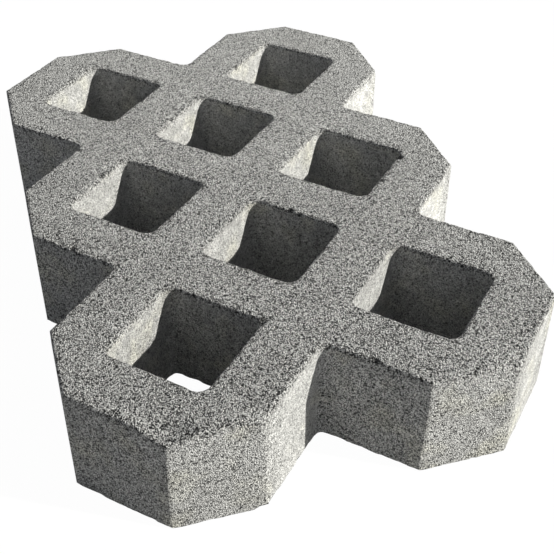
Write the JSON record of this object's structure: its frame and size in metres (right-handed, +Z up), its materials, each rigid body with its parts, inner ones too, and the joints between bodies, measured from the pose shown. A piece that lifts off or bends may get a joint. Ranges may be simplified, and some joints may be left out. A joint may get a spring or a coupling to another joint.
{
  "type": "lattice paving stone",
  "caption": "Cast concrete lattice paving stone with square openings set diagonally, V-notched sides and cut corners, for laying edge to edge over turf or gravel.",
  "frame": {"origin": "middle of the underside, where the stone beds on its laying course", "axes": "+X along the long side, +Y along the short side, +Z up through the top face"},
  "size_m": [0.6, 0.4, 0.1],
  "materials": {
    "pressed_concrete": "dry pressed concrete, open gritty face with sand grains and small pits"
  },
  "bodies": {
    "root": {"grid_paver": "pressed_concrete"}
  },
  "joints": []
}
